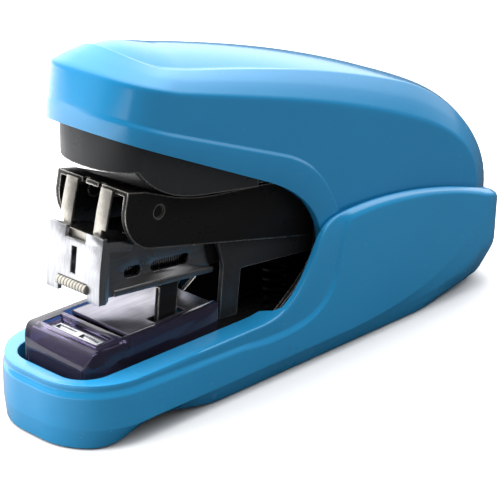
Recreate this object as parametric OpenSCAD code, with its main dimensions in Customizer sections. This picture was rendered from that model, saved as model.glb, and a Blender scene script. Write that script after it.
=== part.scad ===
// Hand-pressed flat-clinch stapler for small-crown staples, in its open rest pose.
// The nose points to -Y, +Z is up, and the origin is the centre of the footprint on the table.
// The magazine and the driver arm are drawn level, as they lie when closed, and tilted up about the main pin.

/* [Overall size] */
// Length of the base, front bulge to rear wall
base_len = 121; // [120:0.5:123]
// Width of the base at its widest
base_w = 32.2; // [32:0.1:33]
// Height of the rim round the clincher
rim_h = 12.8; // [12.4:0.1:13.2]
// Width of the handle cover
handle_w = 28; // [27.9:0.1:28.2]

/* [Staples] */
// Crown width of a staple
staple_w = 10; // [9.8:0.1:10.2]
// Leg length of a staple
staple_leg = 6; // [5.6:0.1:6.2]

/* [Mechanism] */
// How far the magazine tilts up at rest
magazine_tilt = 5.8; // [5.6:0.1:6]
// How far the driver arm tilts up at rest
arm_tilt = 12.6; // [12.4:0.1:12.8]
// Distance of the driver blade from the main pin
blade_r = 72; // [71.9:0.05:72.1]
// Radius of the main pin
main_pin_r = 1.5; // [1.4:0.05:1.6]
// Radius of the handle pin
handle_pin_r = 2; // [1.9:0.05:2.1]

/* [Hidden] */
$fn = 48;
EPS = 0.02;
RUN = 0.05;                         // radial running clearance on a pin
SHELL = 1.7;                        // plastic wall
STEEL = 1;                          // sheet thickness of the frame and arm
base_hw = base_w / 2;
front_y = -base_len / 2;
rear_y = base_len / 2;
cover_rear = rear_y - 19;           // rear edge of the bottom cover
foot_h = 0.3;                       // the rubber pads stand this far proud
cover_z = 1.3;                      // underside of the bottom cover
table_z = 17.5;                     // top of the clincher block, where paper rests
main_pin = [24, 22];                // y, z
handle_pin = [34, 19];
frame_hw = 12;
arm_hw = 9.4;
carrier_hw = 8.2;
magazine_hw = 6.7;
handle_hw = handle_w / 2;
handle_front = -48.2;
lever_hw = 10.7;
lever_front_hw = handle_hw - 1.8;   // the lever's front part fills the cover
lever_front_end = -14;              // rear end of that wider part
lever_drop = 4.5;                   // its top lies this far below the roof
rail_z = 18.9;                      // underside of the staple legs, drawn level
crown_z = rail_z + staple_leg + 0.3;
blade_fork_z = 20.4;                // the blade's two strips part above this height
rod_r = 0.6;                        // guide rod of the staple pusher
rod_z = crown_z + 1.4;
push_post_x = 5.4;
clinch_pivot = [-45, 9.5];
roof_fall = 0.26;                   // slope of the handle lever's roof
screw_r = 1.25;                     // screws that hold the handle cover
screw_ys = [-24, 8];

// ---- helpers ----

// Points of an arc in degrees
function arc(c, r, a0, a1, n = 10) =
    [for (i = [0 : n]) let (a = a0 + (a1 - a0) * i / n) [c[0] + r * cos(a), c[1] + r * sin(a)]];

// Points of a cubic Bezier curve, its first point left out
function bez(a, b, c, d, n = 8) =
    [for (i = [1 : n]) let (t = i / n, s = 1 - t)
        s * s * s * a + 3 * s * s * t * b + 3 * s * t * t * c + t * t * t * d];

// Rounded plan outline: half-width, front and rear ends, front and rear corner radii
function plan(hw, yf, yr, rf, rr) = concat(
    arc([-hw + rf, yf + rf], rf, 180, 270),
    arc([hw - rf, yf + rf], rf, 270, 360),
    arc([hw - rr, yr - rr], rr, 0, 90),
    arc([-hw + rr, yr - rr], rr, 90, 180));

// Profile drawn in (Y, Z) and extruded along X between two places
module side(x0, x1) {
    translate([x0, 0, 0]) rotate([90, 0, 90]) linear_extrude(x1 - x0) children();
}

module both_sides() {
    children();
    mirror([1, 0, 0]) children();
}

// Cylinder along X, centred on x = 0 at (y, z)
module cross_rod(at, r, len) {
    translate([-len / 2, at[0], at[1]]) rotate([0, 90, 0]) cylinder(h = len, r = r);
}

// Children drawn level, tilted nose-up about the main pin
module tilted(angle) {
    translate([0, main_pin[0], main_pin[1]]) rotate([-angle, 0, 0])
        translate([0, -main_pin[0], -main_pin[1]]) children();
}

// Slice of a tube about the main pin: the driver blade runs along such an arc
module pin_shell(r0, r1, hw) {
    translate([-hw, main_pin[0], main_pin[1]]) rotate([0, 90, 0]) difference() {
        cylinder(h = 2 * hw, r = r1, $fn = 180);
        translate([0, 0, -1]) cylinder(h = 2 * hw + 2, r = r0, $fn = 180);
    }
}

// Height of the handle lever's roof
function roof(y) = 52 - roof_fall * y;

// Children placed on the roof, with their Z axis square to it
module on_roof(y) {
    translate([0, y, roof(y)]) rotate([-atan(roof_fall), 0, 0]) children();
}

// Box from its low corner to its high corner
module block(low, high) {
    translate(low) cube(high - low);
}

// Round wire swept along a helix about Z
module coil(r, wire, h, turns) {
    around = 8;                     // flats round the wire
    steps = round(turns * 14);      // bends along the helix
    slope = atan(h / turns / (2 * PI * r));
    points = [for (i = [0 : steps], k = [0 : around - 1])
        let (t = 360 * turns * i / steps, a = 360 * k / around,
             out = wire * cos(a), up = wire * sin(a))
        [(r + out) * cos(t) + up * sin(slope) * sin(t),
         (r + out) * sin(t) - up * sin(slope) * cos(t),
         h * i / steps + up * cos(slope)]];
    skin = [for (i = [0 : steps - 1], k = [0 : around - 1])
        let (a = i * around + k, b = i * around + (k + 1) % around)
        each [[a, a + around, b + around], [a, b + around, b]]];
    ends = [[for (k = [0 : around - 1]) k],
            [for (k = [around - 1 : -1 : 0]) steps * around + k]];
    polyhedron(points, concat(skin, ends));
}

// ---- base ----

// Lower body: chamfer band at the foot, upright wall, rounded shoulder to the rim
module lower_body() {
    hull() {
        translate([0, 0, foot_h]) linear_extrude(EPS)
            polygon(plan(base_hw - 1.7, front_y + 1.3, rear_y - 8, 10.3, 8));
        translate([0, 0, 4.1]) linear_extrude(rim_h - 6.3)
            polygon(plan(base_hw, front_y, rear_y, 13.4, 9));
        translate([0, 0, rim_h - 1]) linear_extrude(EPS)
            polygon(plan(base_hw - 0.6, front_y + 0.5, rear_y - 0.6, 12.9, 8.4));
        translate([0, 0, rim_h - EPS]) linear_extrude(EPS)
            polygon(plan(base_hw - 1.9, front_y + 1.8, rear_y - 1.9, 11.6, 7.2));
    }
}

// Side view of the whole base: low rim in front, wings at the rear, rising underside behind
module base_profile() {
    polygon(concat(
        [[front_y - 1, 0], [front_y - 1, rim_h], [-13.5, rim_h]],
        bez([-13.5, rim_h], [-6, 14.3], [-4, 19.5], [-0.6, 25]),
        bez([-0.6, 25], [1.2, 28], [3.2, 28.6], [6, 29]),
        bez([6, 29], [20, 30.6], [40, 26.5], [55, 20.8]),
        bez([55, 20.8], [58, 19.8], [rear_y, 19.6], [rear_y, 17]),
        bez([rear_y, 17], [rear_y, 9], [54, 0], [40, 0])));
}

module base_cavity() {
    hull() {
        translate([0, 0, -1]) linear_extrude(EPS)
            polygon(plan(base_hw - SHELL - 2.2, front_y + 3.4, cover_rear, 8.8, 6));
        translate([0, 0, 4.1]) linear_extrude(7)
            polygon(plan(base_hw - SHELL, front_y + SHELL, rear_y - SHELL, 11.7, 7.3));
    }
    block([-base_hw + SHELL, -10.4, 4.1], [base_hw - SHELL, rear_y - 9, 40]);
    translate([0, 0, 4.1]) linear_extrude(40)
        polygon(plan(base_hw - SHELL, 0, rear_y - SHELL, 2, 7.3));
}

module base_shell() {
    color("deepskyblue") difference() {
        intersection() {
            union() {
                lower_body();
                translate([0, 0, 4.1]) linear_extrude(30)
                    polygon(plan(base_hw, -14, rear_y, 1, 9));
            }
            side(-20, 20) base_profile();
        }
        intersection() {
            base_cavity();
            side(-20, 20) offset(delta = -SHELL) polygon(concat(
                [[front_y - 9, -9], [front_y - 9, 45], [rear_y, 45], [rear_y, 17]],
                bez([rear_y, 17], [rear_y, 9], [54, 0.2], [cover_rear + SHELL, 0.2]),
                [[cover_rear + SHELL, -9]]));
        }
        linear_extrude(40) polygon(plan(10.9, front_y + 3.4, -4, 5.7, 1));
    }
}

module bottom_cover() {
    color("dimgray") difference() {
        translate([0, 0, cover_z]) linear_extrude(1.6)
            polygon(plan(base_hw - SHELL - 2.3, front_y + 3.5, cover_rear - 0.1, 8.7, 5.9));
        for (y = [-30, 30]) translate([0, y, cover_z - 1]) {
            cylinder(h = 6, r = 1.5);
            cylinder(h = 1.9, r = 2.7);
        }
        for (y = [-44, 18]) block([-9, y - 7, -1], [9, y + 7, cover_z + 0.7]);
    }
}

module rubber_pads() {
    color("black") for (y = [-44, 18]) block([-9, y - 7, 0], [9, y + 7, cover_z + 0.7]);
}

module base_screws() {
    color("silver") for (y = [-30, 30]) translate([0, y, 0]) difference() {
        union() {
            translate([0, 0, cover_z + 0.2]) cylinder(h = 0.7, r = 2.5);
            translate([0, 0, cover_z + 0.2]) cylinder(h = 3.7, r = 1.3);
            translate([0, 0, 4.05]) cylinder(h = 1.15, r = 2);
        }
        translate([0, 0, cover_z - 1]) cylinder(h = 1.5, r = 0.9, $fn = 6);
    }
}

module frame_wall() {
    polygon(concat(
        [[-52, 3], [-52, 10], [-12, 10]],
        bez([-12, 10], [-9, 11.5], [-3, 15.5], [0.3, 18.9]),
        bez([0.3, 18.9], [2.2, 21], [2.6, 23], [2.6, 26]),
        arc([5.6, 26], 3, 180, 90),
        [[28, 29]],
        arc([38, 21], 7, 60, 0),
        [[45, 8], [42, 3]]));
}

module base_frame() {
    color([0.1, 0.1, 0.1]) difference() {
        union() {
            both_sides() side(frame_hw - STEEL, frame_hw) frame_wall();
            block([-frame_hw, -52, 3], [frame_hw, 42, 3 + STEEL]);
        }
        cross_rod(main_pin, main_pin_r + EPS, 40);
        cross_rod(handle_pin, handle_pin_r + EPS, 40);
        cross_rod(clinch_pivot, 1 + EPS, 40);
        for (y = [-30, 30]) translate([0, y, 0]) cylinder(h = 8, r = 1.35);
    }
}

module clincher_cover() {
    front = concat(
        [[-54, 4 + EPS]],
        bez([-54, 4 + EPS], [-55.4, 9], [-55.4, 13], [-53.6, 16]),
        bez([-53.6, 16], [-52.9, 17.2], [-52.4, table_z], [-51.2, table_z]));
    wall = 1.2;
    color([0.28, 0.24, 0.36, 0.7]) difference() {
        intersection() {
            side(-9.5, 9.5) polygon(concat([[-22, 4 + EPS]], front, [[-22, table_z]]));
            linear_extrude(30) polygon(plan(9.5, -54.9, -20, 3.2, 0.5));
        }
        intersection() {
            side(-9.5 + wall, 9.5 - wall) offset(delta = -wall)
                polygon(concat([[-10, -9], [-54, -9]], front, [[-10, table_z]]));
            linear_extrude(30) polygon(plan(9.5 - wall, -54.9 + wall, -10, 2.2, 0.5));
        }
        block([-7.4, -50.8, 10], [7.4, -46.2, 20]);
        side(-9.5 + wall, 9.5 - wall)
            polygon([[-45.6, 18], [-43, 14.6], [-43, 13], [-10, 13], [-10, 18]]);
        cross_rod(clinch_pivot, 1.2, 40);
    }
}

module table_plate() {
    color([0.72, 0.72, 0.78]) difference() {
        block([-8.25, -42.9, 4 + EPS], [8.25, -22, table_z - 0.4]);
        block([-7.45, -50, 0], [7.45, -10, table_z - 1.2]);
        block([push_post_x - 0.5, -36, 10], [push_post_x + 1.5, -28, 20]);
    }
}

module clincher_plate() {
    color("silver") difference() {
        block([-7.1, -50.4, 15.7], [7.1, -46.6, 16.6]);
        both_sides() side(0.9, 5.6) polygon([[-49.3, 17], [-49, 16.25], [-47.9, 16.25], [-47.6, 17]]);
    }
}

module clincher_lifter() {
    color([0.15, 0.15, 0.15]) {
        block([-6, -50, 14.6], [6, -47, 15.7]);
        block([-5, -49.2, 11.5], [5, -47.4, 14.6]);
    }
}

module clincher_lever() {
    color("gray") difference() {
        union() {
            side(-5, 6.8) polygon([[-49, 10.4], [-49, 11.3], [-46, 11.6], [-43, 11.6],
                                   [-31, 12.2], [-31, 11.2], [-43, 9.4], [-46, 9.4]]);
            cross_rod(clinch_pivot, 2.2, 10);
        }
        cross_rod(clinch_pivot, 1 + RUN, 40);
        block([-3, -40, 8], [4, -30, 14]);
    }
}

module clincher_lever_pin() {
    color("silver") cross_rod(clinch_pivot, 1, 2 * frame_hw);
}

// ---- pins ----

module main_pin() {
    color("silver") cross_rod(main_pin, main_pin_r, 2 * frame_hw + 0.7);
}

module handle_pin() {
    color("silver") cross_rod(handle_pin, handle_pin_r, 2 * frame_hw + 0.7);
}

module pin_clip(at, r) {
    translate([frame_hw + EPS, at[0], at[1]]) rotate([0, 90, 0]) difference() {
        cylinder(h = 0.3, r = r + 1.2);
        translate([0, 0, -1]) cylinder(h = 3, r = r + EPS / 2);
        translate([-r * 0.6, -r - 3, -1]) cube([r * 1.2, r + 3, 3]);
    }
}

module pin_clips() {
    color("dimgray") both_sides() {
        pin_clip(main_pin, main_pin_r);
        pin_clip(handle_pin, handle_pin_r);
    }
}

module pin_spacers() {
    color("ivory") both_sides() translate([arm_hw + 0.1, main_pin[0], main_pin[1]])
        rotate([0, 90, 0]) difference() {
            cylinder(h = frame_hw - STEEL - arm_hw - 0.2, r = 3);
            translate([0, 0, -1]) cylinder(h = 5, r = main_pin_r + RUN);
        }
}

module return_spring() {
    color("gainsboro") translate([0, 4, 4.5]) coil(3, 0.45, 14.4, 7);
}

// ---- magazine, drawn level ----

module magazine_channel() {
    wall = 0.8;
    color([0.55, 0.57, 0.6]) tilted(magazine_tilt) difference() {
        union() {
            both_sides() {
                side(magazine_hw - wall, magazine_hw) polygon(concat(
                    [[-52, 18], [-52, 28], [-24, 27.2]],
                    bez([-24, 27.2], [-23.6, 24], [-22.4, 20.5], [-20.6, 18.4]),
                    [[-20.2, 18]]));
                block([magazine_hw - wall, -45.5, 18], [magazine_hw + 0.3, -20.6, 19.1]);
                block([magazine_hw - 2.4, -52, 18], [magazine_hw, -20.6, 18.7]);
            }
            block([-magazine_hw, -52, 27.2], [magazine_hw, -40.5, 28]);
        }
        pin_shell(blade_r - 0.5, 90, 10);
        both_sides() for (window = [[-43.2, -39], [-36.6, -26.9]])
            side(4, 8) polygon(concat(
                arc([window[0] + 1.05, 22], 1.05, 90, 270),
                arc([window[1] - 1.05, 22], 1.05, 270, 450)));
    }
}

module nose_plate() {
    color("white") tilted(magazine_tilt) difference() {
        union() {
            intersection() {
                pin_shell(blade_r + 0.6, blade_r + 1.6, magazine_hw);
                block([-10, -60, 17.1], [10, -40, 29.6]);
            }
            both_sides() {
                intersection() {
                    side(magazine_hw + EPS, magazine_hw + 0.6) polygon([[-60, 17.1], [-60, 29.6],
                        [-46, 28.7], [-42.2, 28.2], [-41.6, 27.4], [-42.2, 26.4], [-47.2, 26.8],
                        [-47.2, 17.6], [-47.8, 17.1]]);
                    pin_shell(60, blade_r + 1.6, 12);
                }
                intersection() {
                    block([magazine_hw - 0.2, -60, 17.1], [magazine_hw + 0.6, -40, 29.6]);
                    pin_shell(blade_r + 0.6, blade_r + 1.6, 12);
                }
            }
        }
        block([-2.7, -60, 27.6], [2.7, -40, 40]);
        block([-0.65, -60, 21.4], [0.65, -40, 26.4]);
        block([-3.9, -60, 10], [3.9, -40, 20.3]);
    }
}

module nose_bar() {
    color("ivory") tilted(magazine_tilt) cross_rod([-49.35, 19.2], 0.9, 7.8);
}

module staple_rail() {
    inner = staple_w / 2 - 0.6;
    color("gray") tilted(magazine_tilt) difference() {
        block([-inner, -47, rail_z], [inner, 0, crown_z - 0.6]);
        block([-inner + 0.7, -46.2, 0], [inner - 0.7, 5, crown_z - 1.3]);
    }
}

module staple_strip() {
    outer = staple_w / 2;
    color("silver") tilted(magazine_tilt) difference() {
        block([-outer, -46.9, rail_z], [outer, -24, crown_z]);
        block([-outer + 0.5, -60, 0], [outer - 0.5, 0, crown_z - 0.5]);
    }
}

module pusher() {
    outer = staple_w / 2 + 0.3;
    inner = staple_w / 2 - 0.55;
    color([0.2, 0.2, 0.2]) tilted(magazine_tilt) difference() {
        union() {
            block([-outer, -23.9, rail_z], [outer, -16, crown_z + 0.6]);
            block([-1.6, -20, crown_z + 0.5], [1.6, -16, crown_z + 2.4]);
        }
        block([-inner, -30, 0], [inner, 0, crown_z - 0.5]);
        translate([0, -30, rod_z]) rotate([-90, 0, 0]) cylinder(h = 30, r = rod_r + RUN);
    }
}

module pusher_spring() {
    color("gainsboro") tilted(magazine_tilt)
        translate([0, -15.6, rod_z]) rotate([-90, 0, 0]) coil(1.1, 0.3, 26.7, 13);
}

module pusher_rod() {
    color("silver") tilted(magazine_tilt) translate([0, -38, rod_z])
        rotate([-90, 0, 0]) cylinder(h = 50.8, r = rod_r);
}

module magazine_carrier() {
    color([0.25, 0.26, 0.27]) tilted(magazine_tilt) difference() {
        union() {
            both_sides() side(carrier_hw - STEEL, carrier_hw) polygon(concat(
                [[-21.6, 27.4]],
                bez([-21.6, 27.4], [-22.4, 25.5], [-19.2, 21], [-19.2, 18.4]),
                [[-19.2, 8.6], [-14.6, 8.6], [-14.4, rail_z - 1], [14, rail_z - 1]],
                arc(main_pin, 4.6, 260, 440),
                [[20, 27.4]]));
            block([-carrier_hw, -14.4, rail_z - 1], [carrier_hw, 8, rail_z - EPS]);
            block([-carrier_hw, 11.6, rod_z - 2], [carrier_hw, 12.6, rod_z + 1]);
        }
        translate([0, 0, rod_z]) rotate([-90, 0, 0]) cylinder(h = 30, r = rod_r + EPS);
        cross_rod(main_pin, main_pin_r + RUN, 40);
    }
}

module push_post() {
    color([0.08, 0.08, 0.08]) tilted(magazine_tilt) {
        block([push_post_x, -33.8, 7.6], [push_post_x + 1, -29.1, 17.98]);
        block([push_post_x - 1, -34.3, 17.3], [push_post_x + 1, -28.6, 17.98]);
    }
}

module carrier_rivets() {
    color("silver") tilted(magazine_tilt) both_sides() for (y = [-8, 6])
        translate([carrier_hw - STEEL - 0.5, y, 23.6]) rotate([0, 90, 0]) cylinder(h = 0.5, r = 1.2);
}

// ---- driver arm, drawn level ----

module driver_arm() {
    color([0.06, 0.06, 0.06]) tilted(arm_tilt) difference() {
        union() {
            both_sides() side(arm_hw - STEEL, arm_hw) polygon(concat(
                [[-47.2, 29.8], [-47.2, 26]],
                bez([-47.2, 26], [-46.6, 22], [-43.4, 19.2], [-39.6, 19.2]),
                [[14, 19.2]],
                arc(main_pin, 4.6, 240, 430),
                [[8, 30.3], [-12, 30.1]],
                bez([-12, 30.1], [-22, 28.9], [-30, 27.4], [-38, 29]),
                [[-43, 29.8]]));
            side(-arm_hw, arm_hw) polygon(concat(
                [[8, 29.4], [8, 30.3], [-12, 30.1]],
                bez([-12, 30.1], [-22, 28.9], [-30, 27.4], [-38, 29]),
                [[-43, 29.8], [-47.2, 29.8], [-47.2, 28.9], [-43, 28.9]],
                bez([-43, 28.9], [-36, 27.4], [-24, 27.7], [-12, 29.2])));
        }
        cross_rod(main_pin, main_pin_r + RUN, 40);
        both_sides() block([1.6, -49, 28], [2.6, -46.3, 31]);
        both_sides() translate([arm_hw - 0.5, -38.9, 26]) rotate([0, 90, 0]) cylinder(h = 3, r = 1.3);
    }
}

module driver_blade() {
    color([0.85, 0.85, 0.83]) tilted(arm_tilt) {
        difference() {
            intersection() {
                pin_shell(blade_r - 0.3, blade_r + 0.3, 6.15);
                block([-10, -60, 17.3], [10, -40, 29.4]);
            }
            block([-3.05, -60, blade_fork_z], [3.05, -40, 40]);
            both_sides() block([5.1, -60, 10], [10, -40, 22]);
        }
        both_sides() block([3.05, -47.75, 28.3], [6.15, -44.5, 28.86]);
    }
}

module arm_studs() {
    color("dimgray") tilted(arm_tilt) both_sides()
        translate([arm_hw - STEEL - 0.6, -38.9, 26]) rotate([0, 90, 0]) cylinder(h = 0.6, r = 1.6);
}

module arm_spring() {
    color("gainsboro") translate([-3.5, main_pin[0], main_pin[1]]) rotate([0, 90, 0])
        coil(main_pin_r + 0.9, 0.4, 7, 6);
}

// ---- handle ----

// Crowned top section across the handle, measured down from the crown
module handle_section(inset) {
    hw = handle_hw - inset;
    polygon(concat(
        [[-hw, -90], [-hw, -8.2 - inset * 0.4]],
        bez([-hw, -8.2 - inset * 0.4], [-hw + 0.6, -6.2 - inset], [-10.6 + inset, -3.9 - inset],
            [-9 + inset, -2.6 - inset], 4),
        bez([-9 + inset, -2.6 - inset], [-4, 0.8 - inset], [4, 0.8 - inset], [9 - inset, -2.6 - inset], 6),
        bez([9 - inset, -2.6 - inset], [10.6 - inset, -3.9 - inset], [hw - 0.6, -6.2 - inset],
            [hw, -8.2 - inset * 0.4], 4),
        [[hw, -90]]));
}

module handle_profile() {
    polygon(concat(
        [[handle_front - 1, 55.6], [handle_front, 55.2], [-14.2, 40.8]],
        bez([-14.2, 40.8], [-6, 37.2], [1.2, 32], [1.6, 24.6]),
        [[1.6, 13.5], [52, 10]],
        arc(handle_pin, 24, -20, 10),
        bez([57.6, 23.2], [57.2, 32], [51, 41.2], [46.4, 44.6]),
        bez([46.4, 44.6], [41, 47.6], [34, 49.8], [26.6, 52.3]),
        bez([26.6, 52.3], [4, 59.6], [-20, 66.4], [-36, 69.4]),
        bez([-36, 69.4], [-42, 70.4], [-46, 69], [handle_front - 1, 66.2])));
}

module handle_plan(inset) {
    front = handle_front + inset;
    reach = 12;
    hw = handle_hw - inset;
    bulge = 2.4;
    polygon(concat(
        [for (i = [0 : 20]) let (a = 180 + 9 * i, c = cos(a), s = sin(a))
            [hw * sign(c) * pow(abs(c), 2 / bulge),
             front + reach + reach * sign(s) * pow(abs(s), 2 / bulge)]],
        arc([hw - 9, 58 - inset - 9], 9, 0, 90),
        arc([-hw + 9, 58 - inset - 9], 9, 90, 180)));
}

// The crown falls to the rear in a straight line, so its section is swept along that line
module handle_block(inset) {
    intersection() {
        translate([0, -60, 76.7]) rotate([90 - 15.6, 0, 0]) mirror([0, 0, 1])
            linear_extrude(150) handle_section(inset);
        linear_extrude(80) handle_plan(inset);
    }
}

module handle_cover() {
    color("deepskyblue") difference() {
        union() {
            difference() {
                intersection() {
                    handle_block(0);
                    side(-20, 20) handle_profile();
                }
                intersection() {
                    handle_block(1.6);
                    side(-20, 20) offset(delta = -1.6) polygon(concat(
                        [[handle_front - 30, -20], [handle_front - 20, 66.6]],
                        [[handle_front, 66.6]],
                        bez([handle_front, 66.6], [-46, 69], [-42, 70.4], [-36, 69.4]),
                        bez([-36, 69.4], [-20, 66.4], [4, 59.6], [26.6, 52.3]),
                        bez([26.6, 52.3], [34, 49.8], [41, 47.6], [46.4, 44.6]),
                        bez([46.4, 44.6], [51, 41.2], [57.2, 32], [57.6, 23.2]),
                        [[57.6, -20]]));
                }
            }
            intersection() {
                handle_block(0.8);
                for (y = screw_ys) on_roof(y) translate([0, 0, EPS]) cylinder(h = 9, r = 3);
            }
        }
        for (y = screw_ys) on_roof(y) translate([0, 0, -1]) cylinder(h = 6.2, r = screw_r + EPS);
    }
}

// Lower edge of the lever in front, from the panel to the flanges
function lever_edge() = concat(
    [[-50, 48.6], [-42, 48.6]],
    bez([-42, 48.6], [-40.4, 45.6], [-37, 42.4], [-26, 41]));

// Side view of the lever: its roof, and a lower edge that falls from the front panel to the pin
module lever_profile() {
    polygon(concat(
        [[-50, roof(-50)]],
        lever_edge(),
        [[8, 36], [20, 29.5], [28.5, 27]],
        arc(handle_pin, 4.8, 160, 390),
        [[37, 34], [24, roof(24)]]));
}

// Side view of the lever's wider front part
module lever_front_profile() {
    polygon(concat(
        [[-50, roof(-50) - lever_drop]],
        lever_edge(),
        [[lever_front_end, 39.2], [lever_front_end, roof(lever_front_end) - lever_drop]]));
}

// Room inside the lever, one sheet thickness in from its outside
module lever_room() {
    front_end = lever_front_end - STEEL;
    side(-lever_hw + STEEL, lever_hw - STEEL) polygon([[-60, 0], [-60, roof(-60) - STEEL],
        [24, roof(24) - STEEL], [60, roof(24) - STEEL], [60, 0]]);
    side(-lever_front_hw + STEEL, lever_front_hw - STEEL) polygon([[-60, 0],
        [-60, roof(-60) - lever_drop - STEEL], [front_end, roof(front_end) - lever_drop - STEEL],
        [front_end, 0]]);
}

// Folded lever: roof, front panel and two flanges, the front end following the inside of the cover
module handle_lever() {
    color([0.2, 0.21, 0.23]) difference() {
        intersection() {
            union() {
                side(-lever_hw, lever_hw) lever_profile();
                side(-lever_front_hw, lever_front_hw) lever_front_profile();
            }
            linear_extrude(80) handle_plan(1.8);
        }
        intersection() {
            lever_room();
            linear_extrude(80) handle_plan(1.8 + STEEL);
        }
        side(-lever_hw + STEEL, lever_hw - STEEL)
            polygon([[24 - EPS, 0], [24 - EPS, 60], [60, 60], [60, 0]]);
        cross_rod(handle_pin, handle_pin_r + RUN, 40);
        for (y = screw_ys) on_roof(y) translate([0, 0, -3]) cylinder(h = 6, r = screw_r + 0.15);
    }
}

module handle_spring() {
    color("gainsboro") translate([-6, handle_pin[0], handle_pin[1]]) rotate([0, 90, 0])
        coil(handle_pin_r + 1, 0.45, 12, 9);
}

module cover_screws() {
    color("silver") for (y = screw_ys) on_roof(y) difference() {
        union() {
            translate([0, 0, -STEEL - 1.4]) cylinder(h = 1.4, r = 2.4);
            translate([0, 0, -STEEL - 0.5]) cylinder(h = 6, r = screw_r);
        }
        translate([0, 0, -STEEL - 2]) cylinder(h = 1.3, r = 1, $fn = 6);
    }
}

base_shell();
bottom_cover();
rubber_pads();
base_screws();
base_frame();
clincher_cover();
table_plate();
clincher_plate();
clincher_lifter();
clincher_lever();
clincher_lever_pin();
main_pin();
handle_pin();
pin_clips();
pin_spacers();
return_spring();
magazine_channel();
nose_plate();
nose_bar();
staple_rail();
staple_strip();
pusher();
pusher_spring();
pusher_rod();
magazine_carrier();
push_post();
carrier_rivets();
driver_arm();
driver_blade();
arm_studs();
arm_spring();
handle_cover();
handle_lever();
handle_spring();
cover_screws();
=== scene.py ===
"""Looks of the hand-pressed flat-clinch stapler, on the frame packed from its CAD."""

import math

import bmesh
import bpy
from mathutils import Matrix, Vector


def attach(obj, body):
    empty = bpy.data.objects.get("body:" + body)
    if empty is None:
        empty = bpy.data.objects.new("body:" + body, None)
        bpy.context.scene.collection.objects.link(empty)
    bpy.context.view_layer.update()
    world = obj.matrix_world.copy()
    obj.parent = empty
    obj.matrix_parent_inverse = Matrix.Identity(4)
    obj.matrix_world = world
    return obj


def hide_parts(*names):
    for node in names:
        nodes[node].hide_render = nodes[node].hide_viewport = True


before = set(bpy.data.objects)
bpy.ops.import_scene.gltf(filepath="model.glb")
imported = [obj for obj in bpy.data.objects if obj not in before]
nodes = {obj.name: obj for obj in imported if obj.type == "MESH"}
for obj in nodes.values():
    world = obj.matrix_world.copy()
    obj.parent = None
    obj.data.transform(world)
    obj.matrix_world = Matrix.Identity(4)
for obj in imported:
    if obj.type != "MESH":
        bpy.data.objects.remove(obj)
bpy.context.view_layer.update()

MM = 0.001

# Driving sizes of the two moulded shells, in mm
HANDLE_HW = 14.0
HANDLE_WALL = 1.5
BASE_HW = 16.1
BASE_END = 60.5
BASE_FRONT_R = 13.4
BASE_REAR_R = 9.4
BASE_WALL = 1.75
RIM_Z = 12.8


# ---- curves ----

def bezier(a, b, c, d, t):
    """Point of a cubic Bezier curve at t."""
    s = 1 - t
    return tuple(
        s**3 * p + 3 * s * s * t * q + 3 * s * t * t * r + t**3 * w
        for p, q, r, w in zip(a, b, c, d)
    )


def line(a, b, t):
    """Point between a and b at t."""
    return tuple(p + (q - p) * t for p, q in zip(a, b))


def chain(spans, counts):
    """Points along a chain of curves: each span is two points, or four for a Bezier curve."""
    points = []
    for span, count in zip(spans, counts):
        curve = bezier if len(span) == 4 else line
        points += [curve(*span, i / count) for i in range(count)]
    last = spans[-1]
    return points + [last[-1]]


def smooth(low, high, value):
    """0 below low, 1 above high, and a soft step between them."""
    t = min(max((value - low) / (high - low), 0), 1)
    return t * t * (3 - 2 * t)


def rounded(points, radii, steps=4):
    """The polyline with its corners rounded: radii has one value for each inner corner. Two
    corners share the stretch between them in proportion to their radii."""
    path = [Vector(points[0])]
    shares = (0, *radii, 0)
    for i, radius in enumerate(radii, 1):
        before, corner, after = (Vector(points[i + k]) for k in (-1, 0, 1))
        back = before - corner
        ahead = after - corner
        room_back = back.length * radius / (radius + shares[i - 1]) * 0.98
        room_ahead = ahead.length * radius / (radius + shares[i + 1]) * 0.98
        start = corner + back.normalized() * min(radius, room_back)
        end = corner + ahead.normalized() * min(radius, room_ahead)
        path += [Vector(bezier(start, corner, corner, end, k / steps)) for k in range(steps + 1)]
    return path + [Vector(points[-1])]


# ---- meshes ----

def half_grid_object(name, columns, fills=()):
    """Mesh through columns of points with x >= 0, mirrored to the other side. Lengths in mm."""
    mesh = bpy.data.meshes.new(name)
    build = bmesh.new()
    for side in (1, -1):
        for grid in (columns, *fills):
            rows = [[build.verts.new((side * p[0] * MM, p[1] * MM, p[2] * MM)) for p in column]
                    for column in grid]
            for a, b in zip(rows, rows[1:]):
                for k in range(len(a) - 1):
                    build.faces.new((a[k], b[k], b[k + 1], a[k + 1]))
    bmesh.ops.remove_doubles(build, verts=build.verts, dist=2e-6)
    bmesh.ops.dissolve_degenerate(build, edges=build.edges, dist=1e-6)
    bmesh.ops.recalc_face_normals(build, faces=build.faces)
    build.to_mesh(mesh)
    build.free()
    mesh.polygons.foreach_set("use_smooth", [True] * len(mesh.polygons))
    mesh.set_sharp_from_angle(angle=math.radians(50))
    shape = bpy.data.objects.new(name, mesh)
    bpy.context.scene.collection.objects.link(shape)
    return shape


def soften(node, radius, segments=2):
    """Rounded edges on a CAD piece; its own points stay where they are."""
    shape = nodes[node]
    shape.data.polygons.foreach_set("use_smooth", [True] * len(shape.data.polygons))
    weld = shape.modifiers.new("weld", "WELD")
    weld.merge_threshold = 1e-6
    bevel = shape.modifiers.new("soft_edges", "BEVEL")
    bevel.width = radius * MM
    bevel.segments = segments
    bevel.limit_method = "ANGLE"
    bevel.angle_limit = math.radians(35)
    bevel.harden_normals = True
    return shape


# ---- materials ----

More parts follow.
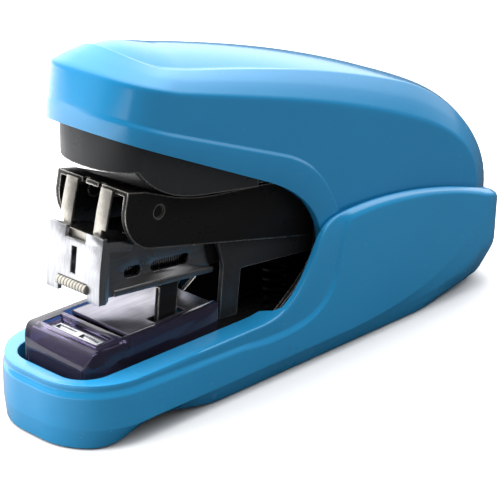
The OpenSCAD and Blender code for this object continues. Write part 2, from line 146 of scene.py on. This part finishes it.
class Nodes:
    """Short names for building a node material."""

    def __init__(self, name):
        self.material = bpy.data.materials.new(name)
        self.material.use_nodes = True
        self.tree = self.material.node_tree
        self.shader = self.tree.nodes["Principled BSDF"]
        self.place = self.add("ShaderNodeTexCoord").outputs["Object"]

    def add(self, kind, **settings):
        node = self.tree.nodes.new(kind)
        for key, value in settings.items():
            setattr(node, key, value)
        return node

    def link(self, source, target):
        self.tree.links.new(source, target)

    def set(self, **inputs):
        for key, value in inputs.items():
            self.shader.inputs[key.replace("_", " ")].default_value = value

    def noise(self, scale, detail=3.0, stretch=(1, 1, 1)):
        """Noise in the piece's own space; scale is in features per metre."""
        mapping = self.add("ShaderNodeMapping")
        mapping.inputs["Scale"].default_value = stretch
        self.link(self.place, mapping.inputs["Vector"])
        noise = self.add("ShaderNodeTexNoise")
        noise.inputs["Scale"].default_value = scale
        noise.inputs["Detail"].default_value = detail
        self.link(mapping.outputs["Vector"], noise.inputs["Vector"])
        return noise.outputs["Fac"]

    def remap(self, value, low, high, to_low, to_high):
        remap = self.add("ShaderNodeMapRange")
        for key, number in zip(("From Min", "From Max", "To Min", "To Max"),
                               (low, high, to_low, to_high)):
            remap.inputs[key].default_value = number
        self.link(value, remap.inputs["Value"])
        return remap.outputs["Result"]

    def mix(self, factor, first, second):
        """Colour between first and second."""
        mix = self.add("ShaderNodeMix", data_type="RGBA")
        self.link(factor, mix.inputs["Factor"])
        for socket, colour in ((mix.inputs["A"], first), (mix.inputs["B"], second)):
            if isinstance(colour, tuple):
                socket.default_value = (*colour, 1)
            else:
                self.link(colour, socket)
        return mix.outputs["Result"]

    def bump(self, height, distance, strength=1.0):
        bump = self.add("ShaderNodeBump")
        bump.inputs["Distance"].default_value = distance * MM
        bump.inputs["Strength"].default_value = strength
        self.link(height, bump.inputs["Height"])
        self.link(bump.outputs["Normal"], self.shader.inputs["Normal"])
        return bump


def plastic(name, colour, rough, coat=0.0, wave=0.004):
    """Moulded plastic: faint orange peel, uneven gloss and a few fine handling scratches."""
    m = Nodes(name)
    m.set(Roughness=rough, Coat_Weight=coat, Coat_Roughness=0.12, IOR=1.5)
    darker = tuple(c * 0.96 for c in colour)
    m.link(m.mix(m.remap(m.noise(40), 0.35, 0.65, 0, 1), colour, darker),
           m.shader.inputs["Base Color"])
    scratches = m.remap(m.noise(1500, 2, (0.04, 1, 1)), 0.70, 0.78, 0, 0.05)
    total = m.add("ShaderNodeMath", operation="ADD")
    m.link(m.remap(m.noise(90), 0.3, 0.7, rough * 0.94, rough * 1.06), total.inputs[0])
    m.link(scratches, total.inputs[1])
    m.link(total.outputs[0], m.shader.inputs["Roughness"])
    m.bump(m.noise(1400, 2), wave, 0.5)
    return m.material


def steel(name, colour, rough, brushed=(1, 0.03, 1), grain=6000, depth=0.004):
    """Sheet metal: drawn grain along one way and uneven roughness."""
    m = Nodes(name)
    m.set(Metallic=1.0)
    lines = m.noise(grain, 3, brushed)
    darker = tuple(c * 0.72 for c in colour)
    m.link(m.mix(m.remap(lines, 0.3, 0.7, 0, 1), colour, darker), m.shader.inputs["Base Color"])
    patches = m.noise(160, 4)
    m.link(m.remap(patches, 0.3, 0.7, rough * 0.7, rough * 1.35), m.shader.inputs["Roughness"])
    m.bump(lines, depth, 0.6)
    return m.material


def painted_steel(name, colour, rough, rim=(0.95, 0.91, 0.83), rim_width=0.0):
    """Semi-gloss coating on sheet steel, worn to bright metal on its edges."""
    m = Nodes(name)
    m.set(IOR=1.42, Specular_IOR_Level=0.25)
    m.link(m.remap(m.noise(200, 4), 0.3, 0.7, rough * 0.8, rough * 1.25),
           m.shader.inputs["Roughness"])
    m.bump(m.noise(2600, 3), 0.006, 0.5)
    if not rim_width:
        darker = tuple(c * 0.7 for c in colour)
        m.link(m.mix(m.remap(m.noise(120), 0.3, 0.7, 0, 1), colour, darker),
               m.shader.inputs["Base Color"])
        return m.material
    bevel = m.add("ShaderNodeBevel", samples=4)
    bevel.inputs["Radius"].default_value = rim_width * MM
    facing = m.add("ShaderNodeVectorMath", operation="DOT_PRODUCT")
    m.link(bevel.outputs["Normal"], facing.inputs[0])
    m.link(m.add("ShaderNodeNewGeometry").outputs["Normal"], facing.inputs[1])
    worn = m.add("ShaderNodeMath", operation="MULTIPLY")
    m.link(m.remap(facing.outputs["Value"], 0.97, 0.86, 0, 1), worn.inputs[0])
    m.link(m.remap(m.noise(900, 4), 0.32, 0.48, 0.35, 1), worn.inputs[1])
    m.link(m.mix(worn.outputs[0], colour, rim), m.shader.inputs["Base Color"])
    m.link(worn.outputs[0], m.shader.inputs["Metallic"])
    return m.material


def smoky_plastic(name):
    """Clear plastic with a violet-grey tint."""
    m = Nodes(name)
    m.set(Base_Color=(0.17, 0.145, 0.25, 1), Transmission_Weight=0.88, IOR=1.45)
    m.link(m.remap(m.noise(300), 0.3, 0.7, 0.02, 0.07), m.shader.inputs["Roughness"])
    m.bump(m.noise(220, 2), 0.03, 0.3)
    return m.material


def rubber(name):
    """Matt rubber with a pebbled surface."""
    m = Nodes(name)
    m.set(Roughness=0.8)
    m.link(m.mix(m.noise(400), (0.02, 0.02, 0.02), (0.05, 0.05, 0.05)),
           m.shader.inputs["Base Color"])
    m.bump(m.noise(2500), 0.03, 0.6)
    return m.material


def ribbed(name, colour, metal, rough, pitch, ratio=0.5, axis="Y"):
    """Fine parallel ribs across one axis, as staples side by side or a moulded grip, with painted shade
    in the grooves between the ribs.
    """
    m = Nodes(name)
    m.set(Metallic=metal)
    wave = m.add("ShaderNodeTexWave", bands_direction=axis, wave_profile="SIN")
    wave.inputs["Scale"].default_value = math.pi / 10 / (pitch * MM)
    m.link(m.place, wave.inputs["Vector"])
    # Painted shade: the troughs between the ribs are darkened to a quarter of the colour.
    dark = tuple(c * 0.25 for c in colour)
    m.link(m.mix(m.remap(wave.outputs["Fac"], 0.1, ratio, 0, 1), dark, colour),
           m.shader.inputs["Base Color"])
    m.link(m.remap(m.noise(800), 0.3, 0.7, rough * 0.8, rough * 1.3), m.shader.inputs["Roughness"])
    m.bump(wave.outputs["Fac"], 0.08, 0.8)
    return m.material


def give(names, material):
    """The material for each of the CAD pieces in names."""
    for name in names:
        nodes[name].data.materials.clear()
        nodes[name].data.materials.append(material)


# ---- handle cover ----

# Counts of columns: round the front, along the side, down the rear turn, and below it
HANDLE_SPANS = (18, 44, 18, 3)


def front_point(u, half_width, front, reach, power=2.4):
    """Point of the rounded plan front, from the centre (u = 0) to the side (u = 1)."""
    a = math.pi / 2 * u
    x = half_width * math.sin(a) ** (2 / power)
    y = front + reach * (1 - math.cos(a) ** (2 / power))
    return x, y


def handle_rail(half_width, front, reach, front_z, side_spans):
    """A line along the handle: round the front at the height front_z(x, y), then along its side."""
    count = HANDLE_SPANS[0]
    points = []
    for i in range(count):
        x, y = front_point(i / count, half_width, front, reach)
        points.append((x, y, front_z(x, y)))
    return points + [(half_width, y, z) for y, z in chain(side_spans, HANDLE_SPANS[1:])]


def lower_edge():
    """Bottom edge of the cover, which sweeps down into the base."""
    middle = (-14.2, 40.8)
    run = HANDLE_SPANS[1]
    points = []
    for i in range(HANDLE_SPANS[0]):
        x, y = front_point(i / HANDLE_SPANS[0], HANDLE_HW, -48.5, 12)
        points.append((x, y, 56.4 - 0.45 * (y + 48.5)))
    side = chain([((-36.5, 51.0), middle), (middle, (-6, 37.2), (1.2, 32), (1.6, 24.6)),
                  ((1.6, 24.6), (1.6, 13.5)), ((1.6, 13.5), (40, 11)), ((40, 11), (49.8, 10))],
                 (run * 4 // 11, run * 5 // 11, run * 2 // 11, *HANDLE_SPANS[2:]))
    return points + [(HANDLE_HW, y, z) for y, z in side]


def crease_line():
    """Upper edge of the lower band on the cover's side."""
    run = HANDLE_SPANS[1]
    points = []
    for i in range(HANDLE_SPANS[0]):
        x, y = front_point(i / HANDLE_SPANS[0], HANDLE_HW, -48.1, 11.8)
        points.append((x, y, 59.4 - 0.41 * (y + 48.1)))
    side = chain([((-36.3, 54.6), (-9.0, 44.1)), ((-9.0, 44.1), (0, 40.6), (3.6, 36), (6.9, 28.5)),
                  ((6.9, 28.5), (8, 16)), ((8, 16), (44, 12)), ((44, 12), (49.8, 10.4))],
                 (run * 4 // 11, run * 5 // 11, run * 2 // 11, *HANDLE_SPANS[2:]))
    return points + [(HANDLE_HW, y, z) for y, z in side]


def shoulder_line():
    """Edge between the cover's side and its bevel."""
    def height(x, y):
        return 66.3 - 0.355 * (y + 46.5) + 0.15 * max(0, 1 - (x / 9) ** 2)
    return handle_rail(HANDLE_HW, -46.5, 10.7, height, [
        ((-35.8, 62.5), (-15.2, 57.0), (5.1, 52.3), (25.8, 44.0)),
        ((25.8, 44.0), (36, 40), (49.8, 34), (49.8, 23.2)),
        ((49.8, 23.2), (49.8, 10.8))])


# The ridge along the side, from the end of its rounded front to the rear turn, as (y, z)
RIDGE_SIDE = ((-28.6, 64.4), (-9, 60.7), (10.5, 56.2), (30, 49.2))


def ridge_height(y):
    """Height of the ridge between bevel and top, continued straight ahead of its side part."""
    start_y, start_z = RIDGE_SIDE[0]
    if y < start_y:
        return start_z - 0.24 * (y - start_y)
    low, high = 0.0, 1.0
    for _ in range(24):
        t = (low + high) / 2
        if bezier(*RIDGE_SIDE, t)[0] < y:
            low = t
        else:
            high = t
    return bezier(*RIDGE_SIDE, low)[1]


def front_lift(x):
    """Extra height of the ridge round the middle of its front."""
    return 2.2 * max(0, 1 - (x / 9) ** 2)


def ridge_line():
    """Edge between the bevel and the top."""
    def height(x, y):
        return ridge_height(y) + front_lift(x)
    return handle_rail(10.0, -41.6, 13.0, height, [
        RIDGE_SIDE,
        ((30, 49.2), (42, 44.6), (57.2, 33), (57.4, 21.2)),
        ((57.4, 21.2), (57.5, 17.5), (57.1, 14), (56.2, 11))])


def crown_rise(y):
    """How far the crown stands above the ridge."""
    return 3.25 - 2.35 * (max(0, y + 38) / 68) ** 1.3


def top_profile(w, y):
    """Rise across the top, from 0 at the ridge (w = 0) to 1 at the crown (w = 1): in front a narrow
    flat strip and a rounded pad inside it, which fade into an even crown towards the rear."""
    strip = 0.085 * (1 - smooth(-20, 4, y))
    rise = max(0, (w - strip) / (1 - strip))
    return 1 - (1 - rise) ** 2.15


def top_columns(ridge, rows=26):
    """Columns of the top from the ridge to the crown line."""
    crown_turn = chain([((30, 50.1), (47, 43.5), (58.6, 38), (58.4, 20)),
                        ((58.4, 20), (58.4, 17), (58.0, 14), (57.1, 11))], HANDLE_SPANS[2:])
    columns = []
    front, side = HANDLE_SPANS[0], HANDLE_SPANS[1]
    for i, (x, y, z) in enumerate(ridge):
        column = []
        for k in range(rows + 1):
            w = (k / rows) ** 1.3
            if i < front + side:
                crown_y = y if i >= front else -34 + 5.4 * (i / front) ** 1.5
                here_y = y + (crown_y - y) * w
                lift = front_lift(x) * (1 - w) ** 2 if i < front else 0
                height = ridge_height(here_y) + lift + crown_rise(here_y) * top_profile(w, here_y)
                column.append((x * (1 - w), here_y, height))
            else:
                turn = crown_turn[i - front - side]
                even = 1 - (1 - w) ** 2
                column.append((x * (1 - w), y + (turn[0] - y) * even, z + (turn[1] - z) * even))
        columns.append(column)
    return columns


def handle_cover():
    """Blue cover: lower band, upright side, bevel, ridge and crowned top, all round."""
    edge, crease, shoulder, ridge = lower_edge(), crease_line(), shoulder_line(), ridge_line()
    tops = top_columns(ridge)
    columns = []
    for i, top in enumerate(tops):
        x, y, z = crease[i]
        fade = smooth(0, HANDLE_SPANS[0] * 0.9, i)
        inset = 0.12 + 0.38 * fade
        share = (HANDLE_HW - inset) / HANDLE_HW
        inner = (x * share, y + inset * (1 - smooth(0, 1, i / HANDLE_SPANS[0])), z + 0.75)
        swell = Vector((0.15 * shoulder[i][0] / HANDLE_HW, -0.15 * (1 - fade), 0.35))
        bulge = Vector(line(shoulder[i], ridge[i], 0.5)) + swell
        corner_points = [edge[i], crease[i], inner, shoulder[i], bulge, ridge[i], top[2]]
        lower = rounded(corner_points, (0.3, 0.25, 0.9, 2.0, 0.35), 3)
        columns.append([tuple(p) for p in lower] + top[3:])
    cover = half_grid_object("handle_cover_shell", columns)
    thick = cover.modifiers.new("wall", "SOLIDIFY")
    thick.thickness = HANDLE_WALL * MM
    thick.offset = -1
    lip = cover.modifiers.new("soft_rim", "BEVEL")
    lip.width = 0.25 * MM
    lip.segments = 2
    lip.limit_method = "ANGLE"
    lip.angle_limit = math.radians(60)
    return cover


# ---- base shell ----

# Counts of columns: front centre, front corner, low side, wing rise, wing top, rear corner, rear centre
BASE_SPANS = (5, 14, 12, 14, 8, 24, 8, 4)


def plan_columns(half_width, front, rear, front_r, rear_r, side_ys):
    """Points of a rounded plan outline, one for each column; side_ys are those along the side."""
    centre, corner = BASE_SPANS[0], BASE_SPANS[1]
    rear_corner, rear_centre = BASE_SPANS[-2], BASE_SPANS[-1]
    points = [((half_width - front_r) * i / centre, front) for i in range(centre)]
    for i in range(corner):
        a = math.pi / 2 * i / corner
        points.append((half_width - front_r + front_r * math.sin(a),
                       front + front_r - front_r * math.cos(a)))
    points += [(half_width, y) for y in side_ys]
    for i in range(1, rear_corner + 1):
        a = math.pi / 2 * i / rear_corner
        points.append((half_width - rear_r + rear_r * math.cos(a),
                       rear - rear_r + rear_r * math.sin(a)))
    for i in range(1, rear_centre + 1):
        points.append(((half_width - rear_r) * (1 - i / rear_centre), rear))
    return points


def side_chain(spans):
    """Side part of a base line, as (y, z) for each column of the side."""
    return chain(spans, BASE_SPANS[2:-2])


def base_rails():
    """Lines of the base along its side, as (y, z): rim, step, and top of the chamfer."""
    rim = side_chain([
        ((-47.1, 12.8), (-16, 12.8)),
        ((-16, 12.8), (-7.5, 12.9), (-4.4, 18.4), (-0.6, 25)),
        ((-0.6, 25), (1.2, 28), (3.2, 28.7), (6.5, 29)),
        ((6.5, 29), (20, 30.2), (38, 26.9), (50.6, 22.3)),
    ])
    step = side_chain([
        ((-47.1, 10.9), (-22, 10.2)),
        ((-22, 10.2), (-9, 8.1), (2, 8.6), (4.4, 17.4)),
        ((4.4, 17.4), (5.2, 20.5), (6.2, 25.0), (7.6, 28.1)),
        ((7.6, 28.1), (21, 29.3), (39, 26.0), (50.6, 21.4)),
    ])
    chamfer = side_chain([
        ((-47.1, 4.1), (-22, 4.1)),
        ((-22, 4.1), (3, 4.1)),
        ((3, 4.1), (8, 4.1)),
        ((8, 4.1), (34, 4.6), (47, 11), (50.6, 20.3)),
    ])
    return rim, step, chamfer


def waist(y):
    """Rise of the foot edge in the waist behind the front corner."""
    return 2.1 * smooth(-56, -43, y) * (1 - smooth(-42, -26, y))


def all_round(rail, front_z, rear_z, inset):
    """One line of the base from the front centre to the rear centre, inset from the plan outline."""
    lead = BASE_SPANS[0] + BASE_SPANS[1]
    rear_corner, rear_centre = BASE_SPANS[-2:]
    heights = [front_z + (rail[0][1] - front_z) * smooth(0, lead, i) for i in range(lead)]
    heights += [z for _, z in rail]
    for i in range(1, rear_corner + rear_centre + 1):
        turned = math.sin(math.pi / 2 * min(1, i / rear_corner))
        heights.append(rear_z + (rail[-1][1] - rear_z) * (1 - turned))
    plan = plan_columns(BASE_HW - inset, -BASE_END + inset, BASE_END - inset,
                        BASE_FRONT_R - inset, BASE_REAR_R - inset, [y for y, _ in rail])
    return [(x, y, z) for (x, y), z in zip(plan, heights)]


def outward(x, y):
    """Direction square to the plan outline at (x, y)."""
    front_corner = -BASE_END + BASE_FRONT_R
    rear_corner = BASE_END - BASE_REAR_R
    way = Vector((x, 0, 0))
    if y < front_corner:
        way = Vector((x - min(x, BASE_HW - BASE_FRONT_R), y - front_corner, 0))
    elif y > rear_corner:
        way = Vector((x - min(x, BASE_HW - BASE_REAR_R), y - rear_corner, 0))
    return way.normalized()


def foot_curve(top):
    """Points from the foot edge up to the chamfer line at top: a straight chamfer in front, which
    turns into a deep rounded sweep at the rear."""
    x, y, z = top
    toward = outward(x, y)
    inset = 0.4 + 1.3 * smooth(-58, -49, y) + 0.35 * waist(y) + 4.6 * smooth(30, 57, y)
    foot = Vector((x, y, 0.35 + waist(y))) - toward * inset
    swept = smooth(20, 50, y)
    points = [foot]
    for down, share_in, share_up in ((2 / 3, 0.55, 0.09), (1 / 3, 0.04, 0.45)):
        flat = Vector(top).lerp(foot, down)
        deep = Vector((x, y, foot.z + (z - foot.z) * share_up)) - toward * inset * share_in
        points.append(flat.lerp(deep, swept))
    return points


def base_shell():
    """Blue base: foot chamfer, wall with a soft step, rim, and the two wings at the rear."""
    rim, step, chamfer = base_rails()
    low_rim, wing_rim = (all_round(rim, RIM_Z, 18.9, inset) for inset in (0.35, 1.25))
    rim_line = [line(low, wing, smooth(-2, 8, low[1])) for low, wing in zip(low_rim, wing_rim)]
    step_line = all_round(step, 11.0, 18.0, 0)
    chamfer_line = all_round(chamfer, 4.1, 16.6, 0)
    opening = plan_columns(BASE_HW - BASE_WALL, -57.1, BASE_END - BASE_WALL, 6, 7.6,
                           [y for y, _ in rim])
    columns = []
    bottom = []
    for i, edge in enumerate(rim_line):
        y = edge[1]
        ledge = 3.45 * (1 - smooth(-12.5, -10.5, y))
        x = opening[i][0]
        inner = (x - ledge * min(1, x / 6), opening[i][1], edge[2])
        inside = (inner[0], inner[1], 5.5 + 5 * smooth(40, 56, y))
        up = Vector(edge) - Vector(step_line[i])
        down = Vector(chamfer_line[i]) - Vector(step_line[i])
        gap = min(0.6, up.length * 0.3, down.length * 0.3)
        inset = 0.5 * (1 - smooth(2, 9, y))
        step_low = Vector(step_line[i]) + down.normalized() * gap
        step_high = Vector(step_line[i]) + up.normalized() * gap
        step_high.x -= inset * step_line[i][0] / BASE_HW
        if y < -47:
            step_high.y += inset * (1 - (step_line[i][0] / BASE_HW) ** 2)
        foot, low, high = foot_curve(chamfer_line[i])
        toe = foot + Vector((-1.4 if foot.x > 2 else 0, 1.2 if y < -50 else 0, 0.05))
        edge_r = 1.3 - 0.6 * smooth(-2, 4, y)
        corner_points = [toe, foot, low, high, chamfer_line[i],
                         step_low, step_high, edge, inner, inside]
        sweep_r = 0.3 + 3.0 * smooth(20, 50, y)
        radii = (0.2, sweep_r, sweep_r, 0.3, 0.5, 0.5, edge_r, 0.35)
        columns.append(rounded(corner_points, radii, 4))
        if foot.y > 40:
            bottom.append([Vector((toe.x * (1 - k / 6), toe.y, toe.z)) for k in range(7)])
    return half_grid_object("base_body", columns, [bottom])


# ---- pieces ----

blue = plastic("blue_plastic", (0.020, 0.290, 0.600), 0.24, 0.75)
blue_base = plastic("blue_plastic_base", (0.024, 0.325, 0.660), 0.26, 0.8)
black_plastic = plastic("black_plastic", (0.02, 0.02, 0.022), 0.4)
white_plastic = plastic("white_plastic", (0.72, 0.70, 0.64), 0.4)
smoke = smoky_plastic("smoke_plastic")
pads = rubber("rubber")
black_steel = painted_steel("black_steel", (0.012, 0.012, 0.012), 0.3, rim_width=0.5)
dark_steel = painted_steel("dark_steel", (0.034, 0.036, 0.038), 0.30, rim_width=0.4)
satin_steel = steel("satin_steel", (0.46, 0.46, 0.47), 0.34)
bright_steel = steel("bright_steel", (0.62, 0.63, 0.66), 0.20, (1, 1, 0.05), 3000, 0.002)
table_steel = steel("table_steel", (0.42, 0.41, 0.47), 0.40, (1, 0.04, 1), 3000, 0.003)
nose_steel = steel("nose_steel", (0.64, 0.65, 0.68), 0.30, (1, 1, 0.05), 3000, 0.001)
blade_steel = steel("blade_steel", (0.82, 0.78, 0.70), 0.36, (1, 1, 0.05))
spring_steel = steel("spring_steel", (0.62, 0.63, 0.65), 0.22, (1, 1, 1), 2500)
dark_wire = steel("dark_wire", (0.035, 0.035, 0.04), 0.35, (1, 1, 1), 2500)
staples = ribbed("staple_wire", (0.75, 0.76, 0.78), 1.0, 0.25, 0.55)
bar_ribs = ribbed("ribbed_bar", (0.58, 0.55, 0.48), 0.0, 0.45, 0.8, 0.4, "X")

for names, material in (
    (("bottom_cover", "clincher_lifter", "pusher"), black_plastic),
    (("pin_spacers",), white_plastic),
    (("nose_bar",), bar_ribs),
    (("clincher_cover",), smoke),
    (("rubber_pads",), pads),
    (("base_frame", "pin_clips", "push_post", "driver_arm", "arm_studs"), black_steel),
    (("magazine_carrier", "handle_lever"), dark_steel),
    (("clincher_lever", "magazine_channel", "staple_rail"), satin_steel),
    (("table_plate",), table_steel),
    (("base_screws", "clincher_plate", "clincher_lever_pin", "main_pin", "handle_pin", "pusher_rod",
      "carrier_rivets", "cover_screws"), bright_steel),
    (("nose_plate",), nose_steel),
    (("driver_blade",), blade_steel),
    (("pusher_spring", "arm_spring", "handle_spring"), spring_steel),
    (("return_spring",), dark_wire),
    (("staple_strip",), staples),
):
    give(names, material)

for name, radius in (
    ("clincher_cover", 0.35), ("table_plate", 0.2), ("clincher_plate", 0.12),
    ("clincher_lifter", 0.2), ("clincher_lever", 0.15), ("magazine_channel", 0.12),
    ("nose_plate", 0.25), ("staple_strip", 0.06), ("pusher", 0.2), ("magazine_carrier", 0.12),
    ("push_post", 0.1), ("driver_arm", 0.18), ("driver_blade", 0.14), ("handle_lever", 0.2),
    ("base_frame", 0.15), ("bottom_cover", 0.25), ("rubber_pads", 0.12), ("nose_bar", 0.12),
    ("cover_screws", 0.15), ("base_screws", 0.12), ("carrier_rivets", 0.1),
):
    soften(name, radius)

for name in ("main_pin", "handle_pin", "clincher_lever_pin", "pusher_rod", "pin_clips", "pin_spacers",
             "arm_studs", "staple_rail"):
    soften(name, 0.08, 1)

for name in ("return_spring", "pusher_spring", "arm_spring", "handle_spring"):
    coil = nodes[name].data
    coil.polygons.foreach_set("use_smooth", [True] * len(coil.polygons))

cover = handle_cover()
cover.data.materials.append(blue)
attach(cover, "handle")
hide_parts("handle_cover")

body = base_shell()
body.data.materials.append(blue_base)
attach(body, "base")
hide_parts("base_shell")


# ---- floor, light and camera ----

def add_floor():
    """Plain floor, white to the camera. To glossy rays it is light ahead and to the left and nearly
    black elsewhere, a painted reflection that puts shade on the lower sides of the piece; to other rays
    it is a mid grey.
    """
    mesh = bpy.data.meshes.new("floor")
    size = 4.0
    mesh.from_pydata([(-size, -size, 0), (size, -size, 0), (size, size, 0), (-size, size, 0)], [],
                     [(0, 1, 2, 3)])
    floor = bpy.data.objects.new("floor", mesh)
    bpy.context.scene.collection.objects.link(floor)
    m = Nodes("floor_white")
    m.set(Roughness=0.9, Specular_IOR_Level=0.1)
    across = m.add("ShaderNodeVectorMath", operation="DOT_PRODUCT")
    across.inputs[1].default_value = (1, 1, 0)
    m.link(m.add("ShaderNodeNewGeometry").outputs["Position"], across.inputs[0])
    # Painted reflection and shade: in glossy surfaces the floor goes from light grey to nearly black
    # across x + y, darkening the lower sides and chamfer as contact shade would.
    mirrored = m.mix(m.remap(across.outputs["Value"], -0.15, -0.04, 0, 1), (0.75, 0.75, 0.76),
                     (0.03, 0.03, 0.03))
    ray = m.add("ShaderNodeLightPath")
    bounced = m.mix(ray.outputs["Is Glossy Ray"], (0.27, 0.27, 0.27), mirrored)
    m.link(m.mix(ray.outputs["Is Camera Ray"], bounced, (0.93, 0.93, 0.93)),
           m.shader.inputs["Base Color"])
    floor.data.materials.append(m.material)


def area_light(name, place, aim, size, power, mirrored=True):
    """Soft box at place, turned to aim, in metres. Unless mirrored, no glossy surface shows it."""
    data = bpy.data.lights.new(name, "AREA")
    data.shape = "RECTANGLE"
    data.size, data.size_y = size
    data.energy = power
    light = bpy.data.objects.new(name, data)
    light.location = place
    light.rotation_euler = (Vector(aim) - Vector(place)).to_track_quat("-Z", "Y").to_euler()
    light.visible_glossy = mirrored
    bpy.context.scene.collection.objects.link(light)


def add_world(bright, dark, glow_from):
    """Studio surroundings: bright towards glow_from, falling off to dark on the other side."""
    world = bpy.data.worlds.new("studio")
    world.use_nodes = True
    tree = world.node_tree
    facing = tree.nodes.new("ShaderNodeVectorMath")
    facing.operation = "DOT_PRODUCT"
    facing.inputs[1].default_value = Vector(glow_from).normalized()
    tree.links.new(tree.nodes.new("ShaderNodeTexCoord").outputs["Generated"], facing.inputs[0])
    level = tree.nodes.new("ShaderNodeMapRange")
    level.interpolation_type = "SMOOTHSTEP"
    for key, value in (("From Min", 0.1), ("From Max", 0.9), ("To Min", dark), ("To Max", bright)):
        level.inputs[key].default_value = value
    tree.links.new(facing.outputs["Value"], level.inputs["Value"])
    tree.links.new(level.outputs["Result"], tree.nodes["Background"].inputs["Strength"])
    tree.nodes["Background"].inputs["Color"].default_value = (1, 1, 1, 1)
    bpy.context.scene.world = world


def add_camera():
    """Camera at the viewing angle of the reference: azimuth and elevation in degrees."""
    azimuth = math.radians(44.42)
    elevation = math.radians(22.23)
    distance = 381.71
    target = Vector((5.05, -8.89, 22.96)) * MM
    back = Vector((math.sin(azimuth) * math.cos(elevation),
                   -math.cos(azimuth) * math.cos(elevation),
                   math.sin(elevation)))
    data = bpy.data.cameras.new("camera")
    data.sensor_width = 36
    data.lens = 142.82
    camera = bpy.data.objects.new("camera", data)
    camera.location = target + back * distance * MM
    camera.rotation_euler = back.to_track_quat("Z", "Y").to_euler()
    bpy.context.scene.collection.objects.link(camera)
    bpy.context.scene.camera = camera


add_floor()
area_light("top_box", (-0.15, 0.05, 0.60), (0, 0, 0.03), (0.7, 0.8), 4.2, mirrored=False)
area_light("front_box", (-0.34, -0.50, 0.22), (0, -0.02, 0.03), (0.55, 0.55), 4.2, mirrored=False)
area_light("right_fill", (0.50, -0.15, 0.45), (0, 0, 0.03), (0.5, 0.5), 0.7, mirrored=False)
add_world(2.2, 0.03, (-0.40, 0.32, 0.85))
add_camera()
bpy.context.scene.view_settings.view_transform = "Standard"
